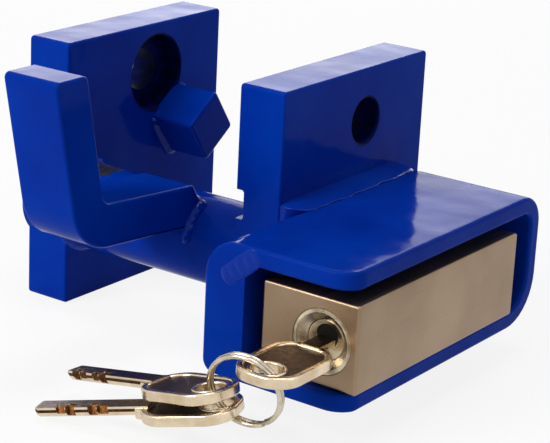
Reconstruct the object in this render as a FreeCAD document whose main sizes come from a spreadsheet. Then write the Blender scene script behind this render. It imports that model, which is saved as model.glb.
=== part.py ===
import FreeCAD, Part
import math
import os
import Sketcher
from FreeCAD import Placement, Rotation, Vector

# Trailer coupler lock: two upright steel jaws joined by a round shaft. The left jaw slides on
# the shaft line, the right jaw carries a bent steel box, and a sliding-bolt padlock in the box
# passes its bolt through the flattened end of the shaft.
# +Z is up, -Y is the keyhole end, +X is the open side of the box. The floor is Z = 0.

doc = FreeCAD.newDocument("coupler_lock")

# driving dimensions, mm
sizes = {
    # jaws
    "jaw_thick": 15.0, "jaw_length": 72.0, "jaw_height": 80.0, "jaw_gap": 62.0,
    "jaw_inner_x": 7.5, "jaw_front_y": -0.6, "jaw_corner": 1.2,
    "pin_hole_radius": 6.6, "pin_hole_y": 40.1, "pin_hole_z": 64.5,
    "counterbore_radius": 11.5, "counterbore_depth": 6.0,
    "lip_groove_low": 41.5, "lip_groove_high": 50.0, "lip_groove_depth": 2.8,
    # shaft
    "shaft_radius": 12.7, "shaft_y": 9.4, "shaft_z": 29.2, "shaft_slip": 0.06,
    "tongue_thick": 14.0, "tongue_start_x": 36.2, "tongue_end_x": 54.5,
    # hook
    "hook_width": 18.5, "hook_mid_x": -17.0, "hook_thick": 12.2, "hook_lean": 11.5,
    "hook_slope": 4.5, "hook_top_z": 87.0, "hook_front_y": -58.1, "hook_bend": 4.0,
    "hook_end_y": 0.4, "hook_end_z": 47.3,
    # block on the left jaw
    "block_side": 15.5, "block_reach": 15.0, "block_y": 49.5, "block_z": 48.6,
    "block_turn": 35.0,
    # box
    "wall_thick": 13.0, "box_front_y": -33.2, "box_back_y": 63.9, "box_low_z": 10.0,
    "box_high_z": 48.0, "box_open_x": 68.5, "plate_thick": 5.0, "box_corner": 10.0,
    "box_foot_corner": 4.0, "bend_top": 9.0, "bend_low": 14.0, "plan_corner": 7.0,
    # padlock
    "lock_wide": 30.0, "lock_long": 80.0, "lock_tall": 24.4, "lock_face_x": 69.5,
    "lock_low_z": 15.05, "notch_wide": 15.0, "notch_deep": 15.5, "lock_edge": 0.8,
    "bolt_x": 46.3, "bolt_radius": 4.8, "bolt_long": 28.5,
    "core_x": 58.5, "dish_radius": 9.0, "dish_deep": 3.0, "shell_radius": 8.5,
    "shell_long": 23.2, "plug_radius": 6.2, "disc_radius": 4.9, "disc_thick": 1.6,
    "rod_radius": 2.2, "tail_radius": 4.0, "tail_long": 5.4, "shell_pin_radius": 0.8,
    "slip": 0.05,
    # keys and ring
    "blade_radius": 2.7, "blade_flat": 0.5, "blade_long": 30.2, "bow_long": 26.0,
    "bow_wide": 18.0, "bow_thick": 3.0, "bow_corner": 7.5, "bow_drop": 1.4, "eye_radius": 3.8,
    "eye_inset": 5.6, "key_face_gap": 3.0,
    "ring_radius": 9.9, "wire_radius": 0.68, "turn_half_gap": 0.62,
    # welds
    "bead": 4.0,
}
sheet = doc.addObject("Spreadsheet::Sheet", "dims")
for row, (name, size) in enumerate(sizes.items(), start=1):
    sheet.set(f"A{row}", name)
    sheet.set(f"B{row}", str(size))
    sheet.setAlias(f"B{row}", name)
doc.recompute()

subparts = {}


# helpers
def value(text):
    """Number that an expression on the sheet gives now."""
    result = sheet.evalExpression(text)
    return float(getattr(result, "Value", result))


def bind(thing, links):
    """Tie properties to the sheet."""
    for prop, text in links.items():
        thing.setExpression(prop, text)
    return thing


def keep(label, thing):
    """Register a finished sub-part under the name of its file."""
    thing.Label = label
    subparts[label] = thing
    return thing


def new_body(label):
    body = doc.addObject("PartDesign::Body", "body_" + label)
    return keep(label, body)


def sketch_on(body, role, shift="0"):
    """Sketch on one of the body's own origin planes, moved along the plane's normal."""
    sketch = body.newObject("Sketcher::SketchObject", "sketch_" + body.Label)
    planes = [p for p in body.Origin.OriginFeatures if p.Role == role]
    sketch.AttachmentSupport = (planes[0], [""])
    sketch.MapMode = "FlatFace"
    bind(sketch, {"AttachmentOffset.Base.z": shift})
    return sketch


def pin_point(sketch, geo, pos, across, up, tag):
    """Hold one sketch point at sheet-driven distances from the sketch origin."""
    for kind, text in (("DistanceX", across), ("DistanceY", up)):
        index = sketch.addConstraint(Sketcher.Constraint(kind, -1, 1, geo, pos, value(text)))
        name = tag + kind[-1].lower()
        sketch.renameConstraint(index, name)
        sketch.setExpression("Constraints." + name, text)


def outline(sketch, corners):
    """Closed straight-sided outline whose corners are pairs of expressions."""
    spots = [Vector(value(a), value(b), 0) for a, b in corners]
    first = sketch.GeometryCount
    count = len(spots)
    for i in range(count):
        sketch.addGeometry(Part.LineSegment(spots[i], spots[(i + 1) % count]), False)
    for i in range(count):
        after = first + (i + 1) % count
        sketch.addConstraint(Sketcher.Constraint("Coincident", first + i, 2, after, 1))
        pin_point(sketch, first + i, 1, corners[i][0], corners[i][1], f"p{first + i}")
    return sketch


def circle(sketch, across, up, radius):
    centre = Vector(value(across), value(up), 0)
    round_line = Part.Circle(centre, Vector(0, 0, 1), value(radius))
    geo = sketch.addGeometry(round_line, False)
    pin_point(sketch, geo, 3, across, up, f"c{geo}")
    index = sketch.addConstraint(Sketcher.Constraint("Radius", geo, value(radius)))
    sketch.renameConstraint(index, f"r{geo}")
    sketch.setExpression(f"Constraints.r{geo}", radius)
    return sketch


def extrude(body, sketch, kind, length):
    """Pad or pocket that reaches the same distance to both sides of its sketch."""
    feature = body.newObject("PartDesign::" + kind, kind.lower() + "_" + body.Label)
    feature.Profile = sketch
    feature.SideType = "Symmetric"
    bind(feature, {"Length": length})
    before = body.Shape.Volume if kind == "Pocket" else 0
    doc.recompute()
    if kind == "Pocket" and not feature.Shape.Volume < before - 0.01:
        raise ValueError("pocket cuts nothing in " + body.Label)
    return feature


def edges_where(shape, test):
    return [f"Edge{i}" for i, edge in enumerate(shape.Edges, start=1) if test(edge)]


def soften(body, test, radius, kind="Fillet"):
    """Fillet or chamfer the edges of the body that pass the test."""
    base = body.Tip
    names = edges_where(base.Shape, test)
    if not names:
        raise ValueError("no edge found on " + body.Label)
    feature = body.newObject("PartDesign::" + kind, kind.lower() + "_" + body.Label)
    feature.Base = (base, names)
    bind(feature, {"Radius" if kind == "Fillet" else "Size": radius})
    doc.recompute()
    return feature


def straight_along(axis):
    """Test for straight edges parallel to a unit vector."""
    def test(edge):
        if edge.Curve.TypeId != "Part::GeomLine":
            return False
        return abs(edge.Curve.Direction.dot(axis)) > 0.999
    return test


def near(edge, y=None, z=None, x=None, slack=0.05):
    middle = edge.CenterOfMass
    wanted = ((middle.x, x), (middle.y, y), (middle.z, z))
    return all(goal is None or abs(got - goal) < slack for got, goal in wanted)


along_x, along_y, along_z = Vector(1, 0, 0), Vector(0, 1, 0), Vector(0, 0, 1)


def box(name, low, size):
    """Part box from expressions for its low corner and its three sizes."""
    solid = doc.addObject("Part::Box", name)
    links = dict(zip(("Length", "Width", "Height"), size))
    links.update(dict(zip(("Placement.Base.x", "Placement.Base.y", "Placement.Base.z"), low)))
    return bind(solid, links)


def rod(name, start, radius, length, axis, kind="Part::Cylinder"):
    """Round bar from an end point, along a unit axis."""
    solid = doc.addObject(kind, name)
    solid.Placement = Placement(Vector(), Rotation(along_z, axis))
    bind(solid, {"Radius": radius, "Height": length})
    bind(solid, dict(zip(("Placement.Base.x", "Placement.Base.y", "Placement.Base.z"), start)))
    return solid


def cut(name, base, *tools):
    """Cut the tools from the base, one after another."""
    result = base
    for i, tool in enumerate(tools):
        step = doc.addObject("Part::Cut", f"{name}_cut{i}")
        step.Base = result
        step.Tool = tool
        result = step
    doc.recompute()
    return result


def fuse(name, *solids):
    result = doc.addObject("Part::MultiFuse", name + "_fuse")
    result.Shapes = list(solids)
    doc.recompute()
    return result


# jaws
def jaw_plate(label, middle_x):
    """Thick upright plate, drilled for the cross pin and bored for the shaft."""
    body = new_body(label)
    low_y, high_y = "dims.jaw_front_y", "dims.jaw_front_y + dims.jaw_length"
    plate = sketch_on(body, "YZ_Plane", middle_x)
    outline(plate, [(low_y, "0"), (high_y, "0"), (high_y, "dims.jaw_height"),
                    (low_y, "dims.jaw_height")])
    extrude(body, plate, "Pad", "dims.jaw_thick")
    soften(body, straight_along(along_x), "dims.jaw_corner")
    holes = sketch_on(body, "YZ_Plane", middle_x)
    circle(holes, "dims.pin_hole_y", "dims.pin_hole_z", "dims.pin_hole_radius")
    extrude(body, holes, "Pocket", "dims.jaw_thick + 1")
    return body


def left_jaw_plate():
    middle_x = "dims.jaw_inner_x - dims.jaw_gap - dims.jaw_thick / 2"
    body = jaw_plate("left_jaw_plate", middle_x)
    sink = sketch_on(body, "YZ_Plane", "dims.jaw_inner_x - dims.jaw_gap")
    circle(sink, "dims.pin_hole_y", "dims.pin_hole_z", "dims.counterbore_radius")
    extrude(body, sink, "Pocket", "dims.counterbore_depth * 2")
    bore = sketch_on(body, "YZ_Plane", middle_x)
    circle(bore, "dims.shaft_y", "dims.shaft_z", "dims.shaft_radius")
    extrude(body, bore, "Pocket", "dims.jaw_thick + 1")


def right_jaw_plate():
    body = jaw_plate("right_jaw_plate", "dims.jaw_inner_x + dims.jaw_thick / 2")
    bore = sketch_on(body, "YZ_Plane", "dims.jaw_inner_x + dims.jaw_thick / 2")
    circle(bore, "dims.shaft_y", "dims.shaft_z", "dims.shaft_radius + dims.shaft_slip")
    extrude(body, bore, "Pocket", "dims.jaw_thick + 1")
    groove = sketch_on(body, "XZ_Plane", "-dims.jaw_front_y - dims.jaw_length / 2")
    inner, deep = "dims.jaw_inner_x - 1", "dims.jaw_inner_x + dims.lip_groove_depth"
    outline(groove, [(inner, "dims.lip_groove_low"), (deep, "dims.lip_groove_low"),
                     (deep, "dims.lip_groove_high"), (inner, "dims.lip_groove_high")])
    extrude(body, groove, "Pocket", "dims.jaw_length + 2")


def locking_shaft():
    """Round bar whose end is milled to a flat tongue and cross-drilled for the padlock bolt."""
    body = new_body("locking_shaft")
    left_end = "dims.jaw_inner_x - dims.jaw_gap - dims.jaw_thick"
    bar = sketch_on(body, "YZ_Plane", f"({left_end} + dims.tongue_end_x) / 2")
    circle(bar, "dims.shaft_y", "dims.shaft_z", "dims.shaft_radius")
    extrude(body, bar, "Pad", f"dims.tongue_end_x - ({left_end})")
    soften(body, lambda e: near(e, x=sizes["tongue_end_x"]), "dims.bead / 4", "Chamfer")
    for side in ("-", "+"):
        flat = sketch_on(body, "XY_Plane", "dims.shaft_z")
        edge = f"dims.shaft_y {side} dims.tongue_thick / 2"
        far = f"dims.shaft_y {side} dims.shaft_radius * 2"
        end = "dims.tongue_end_x + 1"
        outline(flat, [("dims.tongue_start_x", edge), (end, edge), (end, far),
                       ("dims.tongue_start_x", far)])
        extrude(body, flat, "Pocket", "dims.shaft_radius * 3")
    eye = sketch_on(body, "XZ_Plane", "-dims.shaft_y")
    circle(eye, "dims.bolt_x", "dims.lock_low_z + dims.lock_tall / 2", "dims.bolt_radius + 0.5")
    extrude(body, eye, "Pocket", "dims.shaft_radius * 3")


def coupler_hook():
    """Flat bar bent to a J; its short leg is coped and welded to the shaft."""
    body = new_body("coupler_hook")
    lean, slope = "dims.hook_lean * 1deg", "dims.hook_slope * 1deg"
    top_z, thick = "dims.hook_top_z", "dims.hook_thick"
    end_y, end_z = "dims.hook_end_y", "dims.hook_end_z"
    back_top_y = f"dims.hook_front_y + {thick} / cos({lean})"
    # the inner corner is where the upright's back face meets the leg's top face
    inner_y = (f"({back_top_y} + ({top_z} - {end_z} - {end_y} * tan({slope})) * tan({lean}))"
               f" / (1 - tan({slope}) * tan({lean}))")
    inner_z = f"{end_z} + ({end_y} - {inner_y}) * tan({slope})"
    spread = f"{thick} / (1 + sin({lean} + {slope}))"
    outer_y = f"{inner_y} - {spread} * (cos({lean}) + sin({slope}))"
    outer_z = f"{inner_z} - {spread} * (sin({lean}) + cos({slope}))"
    end_low = (f"{end_y} + 8", f"{end_z} - {thick} / cos({slope}) - 8 * tan({slope})")
    side = sketch_on(body, "YZ_Plane", "dims.hook_mid_x")
    outline(side, [("dims.hook_front_y", top_z), (outer_y, outer_z), end_low, (end_y, end_z),
                   (inner_y, inner_z), (back_top_y, top_z)])
    extrude(body, side, "Pad", "dims.hook_width")
    cope = sketch_on(body, "YZ_Plane", "dims.hook_mid_x")
    circle(cope, "dims.shaft_y", "dims.shaft_z", "dims.shaft_radius")
    extrude(body, cope, "Pocket", "dims.hook_width + 1")
    soften(body, lambda e: near(e, y=value(inner_y), z=value(inner_z)), "dims.hook_bend")
    soften(body, lambda e: near(e, y=value(outer_y), z=value(outer_z)),
           "dims.hook_bend + dims.hook_thick")


left_jaw_plate()
right_jaw_plate()
locking_shaft()
coupler_hook()

block = box("block_bar", ("0", "0", "0"),
            ("dims.block_reach", "dims.block_side", "dims.block_side"))
block_round = doc.addObject("Part::Chamfer", "block_edges")
block_round.Base = block
doc.recompute()
block_round.Edges = [(i, 0.8, 0.8) for i in range(1, 13)]
block_round.Placement = Placement(Vector(), Rotation(along_x, value("dims.block_turn")))
half = "dims.block_side / 2"
turn = "dims.block_turn * 1deg"
bind(block_round, {
    "Placement.Base.x": "dims.jaw_inner_x - dims.jaw_gap",
    "Placement.Base.y": f"dims.block_y - {half} * cos({turn}) + {half} * sin({turn})",
    "Placement.Base.z": f"dims.block_z - {half} * sin({turn}) - {half} * cos({turn})"})
keep("socket_block", block_round)


# box
def back_wall():
    body = new_body("back_wall")
    inner = "dims.jaw_inner_x + dims.jaw_thick"
    outer = inner + " + dims.wall_thick"
    end = sketch_on(body, "XZ_Plane", "-(dims.box_front_y + dims.box_back_y) / 2")
    outline(end, [(inner, "dims.box_low_z"), (outer, "dims.box_low_z"),
                  (outer, "dims.box_high_z"), (inner, "dims.box_high_z")])
    extrude(body, end, "Pad", "dims.box_back_y - dims.box_front_y")
    runs_along_y = straight_along(along_y)
    for level, radius in (("dims.box_high_z", "dims.box_corner"),
                          ("dims.box_low_z", "dims.box_foot_corner")):
        soften(body, lambda e: runs_along_y(e) and near(e, x=value(inner), z=value(level)),
               radius)
    bore = sketch_on(body, "YZ_Plane", inner + " + dims.wall_thick / 2")
    circle(bore, "dims.shaft_y", "dims.shaft_z", "dims.shaft_radius + dims.shaft_slip")
    extrude(body, bore, "Pocket", "dims.wall_thick + 1")
    return body


def housing_strap():
    """Plate bent round the far end of the padlock: top, end wall and floor in one piece."""
    body = new_body("housing_strap")
    inner = "dims.jaw_inner_x + dims.jaw_thick + dims.wall_thick"
    side = sketch_on(body, "YZ_Plane", f"({inner} + dims.box_open_x) / 2")
    front, back = "dims.box_front_y", "dims.box_back_y"
    low, high, thick = "dims.box_low_z", "dims.box_high_z", "dims.plate_thick"
    outline(side, [(front, low), (back, low), (back, high), (front, high),
                   (front, f"{high} - {thick}"), (f"{back} - {thick}", f"{high} - {thick}"),
                   (f"{back} - {thick}", f"{low} + {thick}"), (front, f"{low} + {thick}")])
    extrude(body, side, "Pad", f"dims.box_open_x - ({inner})")
    back_y = value(back)
    for z, level, radius in (("dims.box_high_z", -1, "dims.bend_top"),
                             ("dims.box_low_z", 1, "dims.bend_low")):
        outer_z = value(z)
        inner_z = outer_z + level * value(thick)
        soften(body, lambda e: near(e, y=back_y, z=outer_z), radius)
        soften(body, lambda e: near(e, y=back_y - value(thick), z=inner_z),
               f"{radius} - {thick}")
    front_y, open_x = value(front), value("dims.box_open_x")
    soften(body, lambda e: straight_along(along_z)(e) and near(e, x=open_x, y=front_y),
           "dims.plan_corner")
    return body


wall = back_wall()
housing_strap()


# weld beads
def bead_prism(label, corners, shift, length, tools=(), role="XZ_Plane"):
    """Straight bead with the given cross-section, trimmed by its neighbours."""
    body = doc.addObject("PartDesign::Body", "raw_" + label)
    body.Label = "raw_" + label
    outline_sketch = sketch_on(body, role, shift)
    outline(outline_sketch, corners)
    extrude(body, outline_sketch, "Pad", length)
    keep(label, cut(label, body, *tools) if tools else body)


def bead_ring(label, face_x, reach, start_deg=0, sweep_deg=360):
    """Ring bead round the shaft, thick at face_x and fading out over the reach."""
    axis = Vector(1 if value(reach) > 0 else -1, 0, 0)
    cone = doc.addObject("Part::Cone", label + "_cone")
    spin = Rotation(along_z, axis)
    cone.Placement = Placement(Vector(), spin.multiply(Rotation(along_z, start_deg)))
    cone.Angle = sweep_deg
    bind(cone, {"Radius1": "dims.shaft_radius + dims.bead", "Radius2": "dims.shaft_radius + 0.4",
                "Height": f"abs({reach})", "Placement.Base.x": face_x,
                "Placement.Base.y": "dims.shaft_y", "Placement.Base.z": "dims.shaft_z"})
    core = rod(label + "_core", (f"{face_x} - 10", "dims.shaft_y", "dims.shaft_z"),
               "dims.shaft_radius", "20", along_x)
    keep(label, cut(label, cone, core))


jaw_back_x = "dims.jaw_inner_x + dims.jaw_thick"
seam_y = "-(dims.jaw_front_y + dims.box_back_y) / 2"
bead_prism("jaw_top_weld",
           [(jaw_back_x, "dims.box_high_z - dims.box_corner"),
            (f"{jaw_back_x} + dims.box_corner", "dims.box_high_z"),
            (jaw_back_x, "dims.box_high_z + dims.bead / 2")],
           seam_y, "dims.box_back_y - dims.jaw_front_y - 2",
           [wall, rod("shaft_way", (jaw_back_x, "dims.shaft_y", "dims.shaft_z"),
                      "dims.shaft_radius + dims.shaft_slip", "dims.wall_thick", along_x)])
bead_ring("shaft_root_weld", "dims.jaw_inner_x - dims.jaw_gap", "dims.bead")
hook_left = "dims.hook_mid_x - dims.hook_width / 2"
hook_right = "dims.hook_mid_x + dims.hook_width / 2"
bead_ring("hook_side_weld_left", hook_left, "-dims.bead", 265, 95)
bead_ring("hook_side_weld_right", hook_right, "dims.bead * 1.4", 180, 95)


# padlock
core_z = "dims.lock_low_z + dims.lock_tall / 2"
lock_back_x = "dims.lock_face_x - dims.lock_wide"
lock_front_y = "dims.shaft_y - dims.lock_long / 2"
lock_end_y = "dims.shaft_y + dims.lock_long / 2"
notch_high_y = "dims.shaft_y + dims.notch_wide / 2"
notch_low_y = "dims.shaft_y - dims.notch_wide / 2"
shell_start = f"{lock_front_y} + dims.dish_deep"
pin_x = "dims.core_x + dims.shell_radius - 0.4"
pin_y = f"{shell_start} + 12"


def drill(body, across, radius, start_y, length):
    """Bore along Y from start_y towards +Y."""
    hole = sketch_on(body, "XZ_Plane", f"-({start_y} + ({length}) / 2)")
    circle(hole, across, core_z, radius)
    return extrude(body, hole, "Pocket", length)


def padlock_body():
    body = new_body("padlock_body")
    end = sketch_on(body, "XZ_Plane", "-dims.shaft_y")
    outline(end, [(lock_back_x, "dims.lock_low_z"), ("dims.lock_face_x", "dims.lock_low_z"),
                  ("dims.lock_face_x", "dims.lock_low_z + dims.lock_tall"),
                  (lock_back_x, "dims.lock_low_z + dims.lock_tall")])
    extrude(body, end, "Pad", "dims.lock_long")
    soften(body, lambda e: True, "dims.lock_edge")
    notch = sketch_on(body, "XY_Plane", core_z)
    deep = f"{lock_back_x} + dims.notch_deep"
    outline(notch, [(f"{lock_back_x} - 1", notch_low_y), (deep, notch_low_y),
                    (deep, notch_high_y), (f"{lock_back_x} - 1", notch_high_y)])
    extrude(body, notch, "Pocket", "dims.lock_tall + 1")
    drill(body, "dims.core_x", "dims.dish_radius", f"{lock_front_y} - 1", "dims.dish_deep + 1")
    drill(body, "dims.core_x", "dims.shell_radius", lock_front_y,
          "dims.dish_deep + dims.shell_long")
    drill(body, "dims.core_x", "dims.plug_radius - 0.1", f"{shell_start} + dims.shell_long - 1",
          "3")
    drill(body, "dims.core_x", "dims.tail_radius + dims.slip", lock_front_y,
          "dims.dish_deep + dims.shell_long + dims.tail_long")
    drill(body, "dims.core_x", "dims.rod_radius + dims.slip", lock_front_y, "dims.lock_long - 8")
    drill(body, "dims.bolt_x", "dims.bolt_radius + dims.slip", f"{notch_low_y} - 5.6", "7")
    drill(body, "dims.bolt_x", "dims.bolt_radius + dims.slip", f"{notch_high_y} - 1",
          f"{lock_end_y} - ({notch_high_y}) + 2")
    slot = sketch_on(body, "XY_Plane", core_z)
    outline(slot, [("dims.bolt_x", f"{notch_high_y} + 2"),
                   ("dims.core_x + 4", f"{notch_high_y} + 2"),
                   ("dims.core_x + 4", f"{lock_end_y} + 1"), ("dims.bolt_x", f"{lock_end_y} + 1")])
    extrude(body, slot, "Pocket", "dims.rod_radius * 2 + 2.6")
    pin_bore = sketch_on(body, "XY_Plane", "dims.lock_low_z + dims.lock_tall / 4")
    circle(pin_bore, pin_x, pin_y, "dims.shell_pin_radius")
    extrude(body, pin_bore, "Pocket", "dims.lock_tall / 2 + 1")


def turned(label, steps, centre="dims.core_x"):
    """Round piece along Y, made of (start, radius, length) steps."""
    bars = [rod(f"{label}_step{i}", (centre, start, core_z), radius, length, along_y)
            for i, (start, radius, length) in enumerate(steps)]
    return bars[0] if len(bars) == 1 else fuse(label, *bars)


padlock_body()

dish_cone = doc.addObject("Part::Cone", "dish_cone")
dish_cone.Placement = Placement(Vector(), Rotation(along_z, along_y))
bind(dish_cone, {"Radius1": "dims.dish_radius - 0.8", "Radius2": "dims.plug_radius - 0.6",
                 "Height": "dims.dish_deep", "Placement.Base.x": "dims.core_x",
                 "Placement.Base.y": lock_front_y, "Placement.Base.z": core_z})
dish_disc = rod("dish_disc", ("dims.core_x", lock_front_y, core_z), "dims.dish_radius",
                "dims.dish_deep", along_y)
keep("face_dish", cut("face_dish", dish_disc, dish_cone))

shell_tube = cut("shell_tube", rod("shell_bar", ("dims.core_x", shell_start, core_z),
                                   "dims.shell_radius", "dims.shell_long", along_y),
                 rod("shell_bore", ("dims.core_x", f"{shell_start} - 1", core_z),
                     "dims.plug_radius + dims.slip", "dims.lock_long", along_y))
keep("cylinder_shell", cut("cylinder_shell", shell_tube,
                           rod("shell_pin_way", (pin_x, pin_y, "dims.lock_low_z"),
                               "dims.shell_pin_radius", "dims.lock_tall / 2 + 0.4", along_z)))
plug_start = f"{shell_start} + 0.4"
plug_long = "dims.shell_long - 0.7"
plug_tube = [(plug_start, "dims.plug_radius", plug_long)]
slot_box = box("key_slot", ("dims.core_x - dims.blade_radius - 0.15", f"{plug_start} - 1",
                            f"{core_z} - dims.blade_radius - 0.15"),
               ("dims.blade_radius * 2 + 0.3", "dims.lock_long",
                "dims.blade_flat + dims.blade_radius + 0.3"))
hollow = rod("plug_hollow", ("dims.core_x", f"{plug_start} + 2", core_z),
             "dims.disc_radius + dims.slip", plug_long, along_y)
plug_bar = rod("plug_bar", ("dims.core_x", plug_start, core_z), "dims.plug_radius",
               plug_long, along_y)
bar_slot = box("sidebar_slot", ("dims.core_x - 0.85", f"{plug_start} + 2.5",
                                f"{core_z} - dims.plug_radius - 1"),
               ("1.7", "18.0", "dims.plug_radius - dims.disc_radius + 1.4"))
keep("plug", cut("plug", plug_bar, hollow, slot_box, bar_slot))

discs = []
for i in range(10):
    disc_y = f"{plug_start} + 2.3 + {i} * (dims.disc_thick + 0.2)"
    disc = rod(f"disc{i}", ("dims.core_x", disc_y, core_z), "dims.disc_radius",
               "dims.disc_thick", along_y)
    window = rod(f"disc_window{i}", ("dims.core_x", f"{disc_y} - 1", core_z),
                 "dims.blade_radius + 0.2", "dims.disc_thick + 2", along_y)
    discs.append(cut(f"disc{i}", disc, window))
stack = doc.addObject("Part::Compound", "disc_compound")
stack.Links = discs
keep("disc_stack", stack)

keep("sidebar", box("sidebar_bar", ("dims.core_x - 0.75", f"{plug_start} + 2.7",
                                    f"{core_z} - dims.plug_radius + 0.1"),
                    ("1.5", "17.6", "dims.plug_radius - dims.disc_radius - 0.2")))
rod_start = f"{plug_start} + {plug_long}"
rod_end = f"{lock_end_y} - 6"
rod_blank = turned("drive_rod", [(rod_start, "dims.plug_radius - 0.2", "1.2"),
                                 (rod_start, "dims.tail_radius", "dims.tail_long"),
                                 (rod_start, "dims.rod_radius", f"{rod_end} - ({rod_start})")])
tip_socket = rod("tip_socket", ("dims.core_x", f"{rod_start} - 1", core_z),
                 "dims.blade_radius + 0.3", "dims.tail_long", along_y)
keep("drive_rod", cut("drive_rod", rod_blank, tip_socket))

bolt_start = f"{notch_high_y} + 0.4"
keep("locking_bolt", turned("locking_bolt", [(bolt_start, "dims.bolt_radius", "dims.bolt_long")],
                            centre="dims.bolt_x"))

yoke_y = f"{bolt_start} + dims.bolt_long - 4"
yoke_bar = box("yoke_bar", ("dims.bolt_x + 1", yoke_y, f"{core_z} - dims.rod_radius - 1"),
               ("dims.core_x - dims.bolt_x + 2.5", "4", "dims.rod_radius * 2 + 2"))
yoke_eye = rod("yoke_eye", ("dims.core_x", f"{yoke_y} - 1", core_z),
               "dims.rod_radius + dims.slip", "6", along_y)
yoke_bolt = rod("yoke_bolt", ("dims.bolt_x", f"{yoke_y} - 1", core_z), "dims.bolt_radius",
                "6", along_y)
keep("bolt_yoke", cut("bolt_yoke", yoke_bar, yoke_eye, yoke_bolt))

cap_bar = box("cap_bar", ("dims.bolt_x - 2.9", f"{lock_end_y} - 3",
                          f"{core_z} - dims.rod_radius - 1.3"),
              ("dims.core_x - dims.bolt_x + 6.8", "2.7",
               "dims.rod_radius * 2 + 2.6"))
keep("end_cap", cap_bar)
keep("shell_pin", rod("shell_pin_bar", (pin_x, pin_y, "dims.lock_low_z + 0.4"),
                      "dims.shell_pin_radius", core_z + " - dims.lock_low_z", along_z))


# keys and ring
def make_key(label):
    """Key along +X from its tip towards the bow; its eye is at the local origin."""
    body = new_body(label)
    bow_end, bow_root = "dims.eye_inset", "dims.eye_inset - dims.bow_long"
    wide = "dims.bow_wide / 2"
    bow = sketch_on(body, "XY_Plane", "-dims.bow_drop")
    outline(bow, [(bow_root, f"-{wide}"), (bow_end, f"-{wide}"), (bow_end, wide),
                  (bow_root, wide)])
    circle(bow, "0", "0", "dims.eye_radius")
    extrude(body, bow, "Pad", "dims.bow_thick")
    soften(body, straight_along(along_z), "dims.bow_corner")
    blade = sketch_on(body, "YZ_Plane", f"{bow_root} - dims.blade_long / 2 + 1")
    half_angle = math.acos(sizes["blade_flat"] / sizes["blade_radius"])
    low = math.pi / 2 - half_angle
    high = math.pi / 2 + half_angle
    radius = value("dims.blade_radius")
    arc = Part.ArcOfCircle(Part.Circle(Vector(), along_z, radius), high, low + 2 * math.pi)
    blade.addGeometry(arc, False)
    chord = [Vector(radius * math.cos(a), radius * math.sin(a), 0) for a in (low, high)]
    blade.addGeometry(Part.LineSegment(chord[0], chord[1]), False)
    blade.addConstraint(Sketcher.Constraint("Coincident", 0, 2, 1, 1))
    blade.addConstraint(Sketcher.Constraint("Coincident", 0, 1, 1, 2))
    blade.addConstraint(Sketcher.Constraint("Coincident", 0, 3, -1, 1))
    blade.addConstraint(Sketcher.Constraint("Horizontal", 1))
    for kind, where, text in (("Radius", (0,), "dims.blade_radius"),
                              ("DistanceY", (-1, 1, 1, 1), "dims.blade_flat")):
        index = blade.addConstraint(Sketcher.Constraint(kind, *where, value(text)))
        blade.setExpression(f"Constraints[{index}]", text)
    extrude(body, blade, "Pad", "dims.blade_long + 2")
    for i, (place, wide_cut, depth) in enumerate(((3.0, 3.4, 1.6), (8.2, 2.6, 2.3),
                                                  (13.5, 4.0, 1.2), (18.6, 2.6, 1.9))):
        bite = sketch_on(body, "XZ_Plane")
        left = f"{bow_root} - dims.blade_long + {place}"
        right = f"{left} + {wide_cut}"
        base = f"{depth} - dims.blade_radius"
        outline(bite, [(left, "-dims.blade_radius - 1"), (right, "-dims.blade_radius - 1"),
                       (right, base), (left, base)])
        extrude(body, bite, "Pocket", "dims.blade_radius * 3")
    return body


inserted = make_key("inserted_key")
eye_y = f"{lock_front_y} - dims.key_face_gap - dims.bow_long + dims.eye_inset"
inserted.Placement = Placement(Vector(), Rotation(along_z, -90))
bind(inserted, {"Placement.Base.x": "dims.core_x", "Placement.Base.y": eye_y,
                "Placement.Base.z": core_z})


def lay_key(label, eye, tip):
    """Spare key whose eye and tip are at two points."""
    key = make_key(label)
    heading = (tip - eye).normalize()
    aim = Rotation(Vector(-1, 0, 0), heading)
    upright = aim.multVec(along_z)
    level = (along_z - heading * along_z.dot(heading)).normalize()
    twist = math.degrees(math.atan2(heading.dot(upright.cross(level)), upright.dot(level)))
    key.Placement = Placement(eye, Rotation(heading, twist).multiply(aim))


ring_touch = Vector(value("dims.core_x"), value(eye_y), value(core_z) - sizes["bow_drop"] + 0.9)
spoke = Vector(0.668, -0.053, 0.742).normalize()
ring_normal = Vector(0.155, -0.966, -0.208)
ring_normal = (ring_normal - spoke * ring_normal.dot(spoke)).normalize()
centre = ring_touch - spoke * value("dims.ring_radius")
turns = []
for side in (-1, 1):
    torus = doc.addObject("Part::Torus", f"ring_turn{side + 1}")
    bind(torus, {"Radius1": "dims.ring_radius", "Radius2": "dims.wire_radius"})
    offset = ring_normal * side * value("dims.turn_half_gap")
    torus.Placement = Placement(centre + offset, Rotation(along_z, ring_normal))
    turns.append(torus)
keep("split_ring", fuse("split_ring", *turns))
side_way = ring_normal.cross(spoke)


def on_ring(degrees):
    turn_by = math.radians(degrees)
    outward = spoke * math.cos(turn_by) + side_way * math.sin(turn_by)
    return centre + outward * sizes["ring_radius"]


lay_key("spare_key_low", on_ring(168), Vector(-4.2, -68.6, 3.4))
lay_key("spare_key_high", on_ring(139), Vector(-6.5, -50.4, 7.4))


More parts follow.
